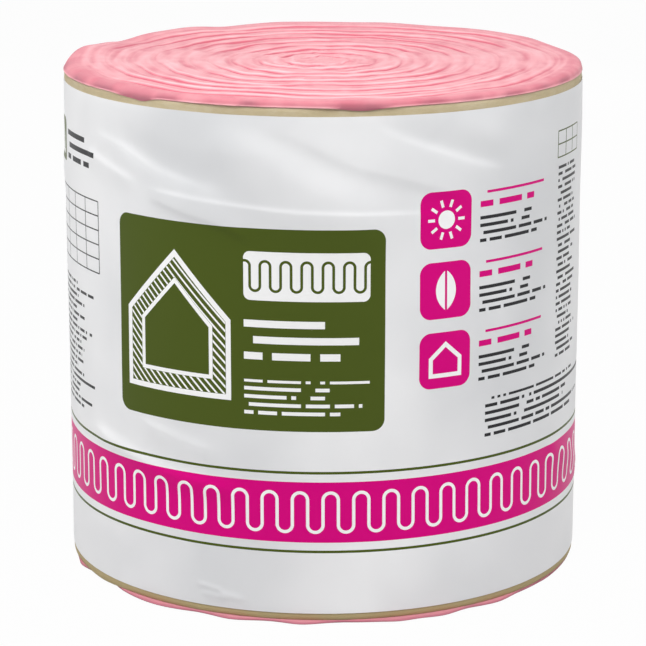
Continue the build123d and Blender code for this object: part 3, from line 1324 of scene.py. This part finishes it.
@dataclass
class KraftFacing:
    """The paper round the outer turn, with a flange folded back along each edge."""

    sizes: RollSizes
    thickness: float = 0.3 * MM
    flange: float = 25.0 * MM
    fold: float = 0.35 * MM  # the height of the round where the paper folds
    flange_rows: tuple[float, ...] = (3.0 * MM, 8.0 * MM, 16.0 * MM)  # from the paper's edge
    inner_rows: tuple[float, ...] = (33.0 * MM, 41.0 * MM)
    waist: float = 3.0 * MM  # how far the paper is squeezed in under the film
    waist_range: Range = (8.0 * MM, 40.0 * MM)  # from the paper's edge
    edge_wave: Unevenness = Unevenness(0, 0.25 * MM, 6.0, seed=1.5)
    wave_width: float = 12.0 * MM  # how far from its edge the paper follows the wave
    foot_dip: RimStretch = RimStretch(32, 7, -1.2 * MM)
    columns: int = 360

    def build(self) -> bpy.types.Object:
        """Makes the paper.

        Returns:
            The paper, on its body.
        """
        sizes = self.sizes
        angles = np.linspace(0, TURN, self.columns, endpoint=False)
        low, high = sizes.paper_bottom, sizes.paper_top
        flange_end = (self.flange - self.fold, self.flange)
        from_edge = np.array((self.fold, *self.flange_rows, *flange_end, *self.inner_rows))
        outside = np.concatenate((low + from_edge, [(low + high) / 2], (high - from_edge)[::-1]))
        edge_distance = np.minimum(outside - low, high - outside)
        squeezed = self.waist * smoothstep(*self.waist_range, edge_distance)
        on_flange = edge_distance < self.flange - self.fold / 2
        outer = sizes.paper_radius - squeezed - np.where(on_flange, 0.0, self.thickness)
        inner = sizes.paper_radius - squeezed - 2 * self.thickness
        fold_radius = sizes.paper_radius - self.thickness
        section_radii = np.concatenate((outer, [fold_radius], inner[::-1], [fold_radius]))
        section_heights = np.concatenate((outside, [high], outside[::-1], [low]))
        at_top = smoothstep(high - self.wave_width, high, section_heights)[:, None]
        at_foot = 1 - smoothstep(low, low + self.wave_width, section_heights)[:, None]
        wave = self.edge_wave.at(angles)
        heights = section_heights[:, None] + at_top * wave + at_foot * (wave + self.foot_dip.along(angles))
        grid = around(angles, section_radii[:, None], heights)
        faces = strip_faces(len(section_radii), self.columns, True, True)
        piece = grid_object("kraft_paper_facing", grid, faces)
        piece.data.materials.append(KraftPaper(sizes).material())
        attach(piece, "root")
        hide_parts("kraft_facing")
        return piece


@dataclass(frozen=True)
class Fold:
    """A ridge in the film along a line, or a valley where its height is negative.

    The line runs from left to right. A narrow flank of a ridge shows bright above the line, and dark below.
    """

    line: tuple[Spot, ...]
    height: float  # mm
    upper: float  # mm across the flank above the line
    lower: float  # mm across the flank below it

    def lift(self, across: np.ndarray, up: np.ndarray) -> np.ndarray:
        """Works out how far the fold lifts the film.

        Args:
            across: Distances round the film from its front, in millimetres.
            up: Heights above the film's foot, in millimetres.

        Returns:
            The lift, in millimetres.
        """
        corner_rounding = (-12.0, -6.0, 0.0, 6.0, 12.0)
        start, end = (0.0, 0.15), (0.75, 1.0)  # shares of the line over which the fold grows and fades
        places, levels = zip(*self.line)
        crest = np.mean([np.interp(across + shift, places, levels) for shift in corner_rounding], axis=0)
        share = (across - places[0]) / (places[-1] - places[0])
        taper = smoothstep(*start, share) * (1 - smoothstep(*end, share))
        beside = up - crest
        flank = np.where(beside > 0, self.upper, self.lower)
        return self.height * taper * np.exp(-((beside / flank) ** 2))


@dataclass
class FilmWrap:
    """The printed film round the roll, lapped over itself at the back."""

    sizes: RollSizes
    thickness: float = 0.3 * MM
    lap: float = 30.0 * MM
    free_lift: float = 0.4 * MM  # how far the lap's free edge stands off
    free_share: float = 0.4  # of the lap
    busy_front: Range = (-220.0, 160.0)  # mm across, where most folds are
    column_steps: tuple[int, ...] = (86, 160, 94)
    row_stops: tuple[float, ...] = (24.0, 80.0, 135.0, 270.0, 350.0)  # mm up, between the film's edges
    row_steps: tuple[int, ...] = (18, 21, 50, 40, 95, 14)
    inner_rows: int = 40
    inner_samples: int = 7  # places about an inner row, of which it takes the lowest
    billow: Unevenness = Unevenness(0, 0.8, 2.2, 95.0)  # mm
    billow_lean: float = 0.35  # how far the billows climb for each step across
    billow_edge: float = 40.0  # mm in from the film's edges, where the billows grow
    billow_least: float = -2.0  # mm
    fold_edge: float = 30.0  # mm in from the film's edges, where the folds grow
    fold_edge_share: float = 0.4  # of a fold, at the film's edges
    hem_width: float = 4.0  # mm
    hem_height: float = 0.12  # mm
    folds: tuple[Fold, ...] = (
        Fold(((-146, 310), (-115, 307), (-76, 304), (-20, 300), (40, 298), (100, 296)), 0.8, 2.6, 24),
        Fold(((-205, 344), (-157, 335), (-137, 325), (-115, 319), (-74, 311)), 0.5, 4, 12),
        Fold(((-175, 348), (-137, 333), (-115, 326), (-60, 315)), -1.0, 15, 9),
        Fold(((-215, 328), (-177, 319), (-146, 310)), 0.8, 4, 10),
        Fold(((-140, 306), (-109, 298), (-87, 294), (-64, 287), (-45, 277)), 0.9, 16, 4.5),
        Fold(((-50, 369), (-20, 358), (4, 345), (18, 336), (52, 328), (77, 320), (120, 306)), 1.1, 22, 7),
        Fold(((-95, 372), (-66, 352), (-40, 334), (-15, 318), (20, 304), (60, 296)), 2.8, 20, 36),
        Fold(((30, 366), (52, 353), (74, 344), (93, 338), (113, 330), (150, 321)), 0.45, 3.5, 16),
        Fold(((35, 372), (60, 358), (85, 349), (113, 338), (150, 328)), -0.9, 14, 7),
        Fold(((40, 384), (64, 376), (115, 362), (160, 342)), 1.8, 20, 20),
        Fold(((-215, 116), (-173, 108), (-137, 99), (-111, 95), (-82, 93), (-50, 89)), 1.5, 6, 9),
        Fold(((-150, 133), (-129, 128), (-107, 124), (-75, 117)), 0.8, 5, 12),
        Fold(((-98, 17), (-86, 15), (-74, 12)), 0.7, 1.8, 3),
        Fold(((-94, 10), (-82, 8.5), (-70, 7)), 0.8, 1.8, 3),
        Fold(((-80, 12), (-70, 9), (-57, 7)), 0.9, 2.2, 3),
        Fold(((200, 100), (255, 80), (310, 58)), 1.2, 8, 12),
        Fold(((300, 345), (400, 330), (500, 300)), 1.2, 14, 5),
        Fold(((330, 250), (430, 270), (520, 300)), 1.4, 6, 20),
        Fold(((410, 120), (500, 112), (600, 96)), 1.2, 6, 14),
        Fold(((-420, 330), (-340, 318), (-260, 296)), 1.2, 5, 16),
        Fold(((-560, 210), (-470, 190), (-380, 160)), 1.5, 8, 16),
    )

    def swell(self, across: np.ndarray, up: np.ndarray) -> np.ndarray:
        """Works out how far the film stands off its plain round.

        Args:
            across: Distances round the film from its front, in millimetres.
            up: Heights above the film's foot, in millimetres.

        Returns:
            The stand-off, in metres.
        """
        height = (self.sizes.film_top - self.sizes.film_bottom) / MM
        from_edge = np.minimum(up, height - up)
        inside = smoothstep(0.0, self.billow_edge, from_edge)
        angle = across * MM / self.sizes.film_radius
        billows = self.billow.at(angle, up + self.billow_lean * across) * inside
        folds = sum(fold.lift(across, up) for fold in self.folds)
        grown = smoothstep(0.0, self.fold_edge, from_edge)
        total = billows + folds * (self.fold_edge_share + (1 - self.fold_edge_share) * grown)
        total = np.maximum(total, self.billow_least * inside)
        return (total + self.hem_height * smoothstep(0.0, self.hem_width, from_edge)) * MM

    def build(self) -> bpy.types.Object:
        """Makes the film.

        Returns:
            The film, on its body.
        """
        sizes = self.sizes
        half_round, lap = math.pi * sizes.film_radius / MM, self.lap / MM
        height = (sizes.film_top - sizes.film_bottom) / MM
        across = spaced((-half_round, *self.busy_front, half_round + lap), self.column_steps)
        turn = across * MM / sizes.film_radius + math.pi
        wound = np.where(turn > TURN, across - 2 * half_round, across)
        free_edge = smoothstep(half_round + (1 - self.free_share) * lap, half_round + lap, across)
        climb = sizes.film_radius - self.thickness + 2 * self.thickness * turn / TURN
        climb = climb + self.free_lift * free_edge
        outside = spaced((0.0, *self.row_stops, height), self.row_steps)[:, None]
        inside = np.linspace(height, 0, self.inner_rows)[:, None]
        nearby = np.linspace(-1, 1, self.inner_samples) * height / (self.inner_rows - 1)
        inner = np.min([self.swell(wound, np.clip(inside + shift, 0, height)) for shift in nearby], axis=0)
        radii = np.vstack((climb + self.swell(wound, outside), climb + inner - self.thickness))
        heights = sizes.film_bottom + np.vstack((outside, inside)) * MM * np.ones_like(turn)
        back = 0.75 * TURN  # where the film starts
        grid = around(back + turn, radii, heights)
        rows, columns = radii.shape
        faces = strip_faces(rows, columns, True, False)
        for column in (0, columns - 1):
            end = tuple(row * columns + column for row in range(rows))
            faces.append(end if column == 0 else end[::-1])
        piece = grid_object("printed_film_wrap", grid, faces)
        piece.data.materials.append(PrintedFilm(sizes, self.lap).material())
        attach(piece, "root")
        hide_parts("film_wrap")
        return piece


@dataclass(frozen=True)
class Softbox:
    """A square studio lamp that faces the roll."""

    name: str
    place: tuple[float, float, float]
    size: float
    watts: float


@dataclass
class Studio:
    """A plain pale floor, soft light and the camera at the photograph's angle."""

    sizes: RollSizes
    aim_height: float = 0.179
    elevation: float = math.radians(13.93)
    distance: float = 2.205
    lens: float = 155.3  # mm
    sensor: float = 36.0  # mm
    view_end: float = 100.0
    floor_size: float = 24.0
    floor_shade: str = "#b4b4b4"
    floor_glow: float = 0.975  # how much of the white shows over the floor's shade and shadow
    white: str = "#ffffff"
    world_level: float = 0.22
    lamps: tuple[Softbox, ...] = (
        Softbox("softbox_key", (-0.1, -1.7, 3.1), 1.5, 92.5),
        Softbox("softbox_front", (0.5, -2.4, 1.0), 1.2, 3.5),
        Softbox("softbox_left", (-2.0, -0.3, 1.0), 1.2, 17.0),
        Softbox("softbox_right", (2.0, -0.6, 0.9), 1.2, 12.0),
        Softbox("softbox_back", (0.3, 2.4, 0.8), 1.2, 8.0),
    )

    def camera(self) -> None:
        """Sets the camera on the front side, looking a little down at the roll."""
        data = bpy.data.cameras.new("camera")
        data.lens = self.lens
        data.sensor_width = self.sensor
        data.clip_end = self.view_end
        camera = bpy.data.objects.new("camera", data)
        aim = Vector((0, 0, self.aim_height))
        reach = Vector((0, -math.cos(self.elevation), math.sin(self.elevation))) * self.distance
        camera.location = aim + reach
        camera.rotation_euler = (-reach).to_track_quat("-Z", "Y").to_euler()
        bpy.context.scene.collection.objects.link(camera)
        bpy.context.scene.camera = camera

    def white_rays(self, tree: Tree) -> Socket:
        """Finds the rays that show the background.

        Args:
            tree: The node tree to add to.

        Returns:
            1 for camera, glossy and transmission rays, and 0 for the rest.
        """
        rays = add_node(tree, "ShaderNodeLightPath", {}, {}).outputs
        others = (("MAXIMUM", rays[name]) for name in ("Is Glossy Ray", "Is Transmission Ray"))
        return work_out(tree, MATH, rays["Is Camera Ray"], *others)

    def floor(self) -> None:
        """Lays a white floor that keeps a faint shadow."""
        half = self.floor_size / 2
        corners = np.array([(-half, -half, 0), (half, -half, 0), (half, half, 0), (-half, half, 0)])
        floor = grid_object("floor", corners, [(0, 1, 2, 3)])
        material, tree, _ = new_tree("paper_sweep_white")
        matt = add_node(tree, "ShaderNodeBsdfDiffuse", {}, {"Color": linear(self.floor_shade)}).outputs[0]
        glow_inputs = {"Color": linear(self.white), "Strength": 1.0}
        glow = add_node(tree, "ShaderNodeEmission", {}, glow_inputs).outputs[0]
        share = work_out(tree, MATH, self.white_rays(tree), ("MULTIPLY", self.floor_glow))
        mixed = add_node(tree, "ShaderNodeMixShader", {}, {0: share, 1: matt, 2: glow}).outputs[0]
        add_node(tree, "ShaderNodeOutputMaterial", {}, {"Surface": mixed})
        floor.data.materials.append(material)

    def world(self) -> None:
        """Surrounds the roll with even light that shows as white."""
        world = bpy.data.worlds.new("studio")
        world.use_nodes = True
        tree = world.node_tree
        tree.nodes.clear()
        level_inputs = {"Value": self.white_rays(tree), "To Min": self.world_level, "To Max": 1.0}
        level = add_node(tree, "ShaderNodeMapRange", {}, level_inputs).outputs[0]
        glow_inputs = {"Color": linear(self.white), "Strength": level}
        glow = add_node(tree, "ShaderNodeBackground", {}, glow_inputs).outputs[0]
        add_node(tree, "ShaderNodeOutputWorld", {}, {"Surface": glow})
        bpy.context.scene.world = world

    def hang(self, softbox: Softbox) -> None:
        """Hangs a softbox so that it faces the roll.

        Args:
            softbox: The lamp to hang.
        """
        data = bpy.data.lights.new(softbox.name, "AREA")
        data.shape, data.size, data.energy = "SQUARE", softbox.size, softbox.watts
        lamp = bpy.data.objects.new(softbox.name, data)
        lamp.location = softbox.place
        middle = Vector((0, 0, self.sizes.film_top / 2))
        lamp.rotation_euler = (middle - lamp.location).to_track_quat("-Z", "Y").to_euler()
        bpy.context.scene.collection.objects.link(lamp)

    def build(self) -> None:
        """Sets up the whole studio."""
        self.floor()
        self.world()
        for softbox in self.lamps:
            self.hang(softbox)
        self.camera()
        bpy.context.scene.view_settings.view_transform = "Standard"


def main() -> None:
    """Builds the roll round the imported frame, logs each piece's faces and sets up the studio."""
    logging.basicConfig(level=logging.INFO, format="%(name)s: %(message)s")
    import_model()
    sizes = RollSizes.from_frame()
    for maker in (WoolRoll(sizes), KraftFacing(sizes), FilmWrap(sizes)):
        piece = maker.build()
        LOG.info("%s: %d faces", piece.name, len(piece.data.polygons))
    Studio(sizes).build()


if __name__ == "__main__":
    main()
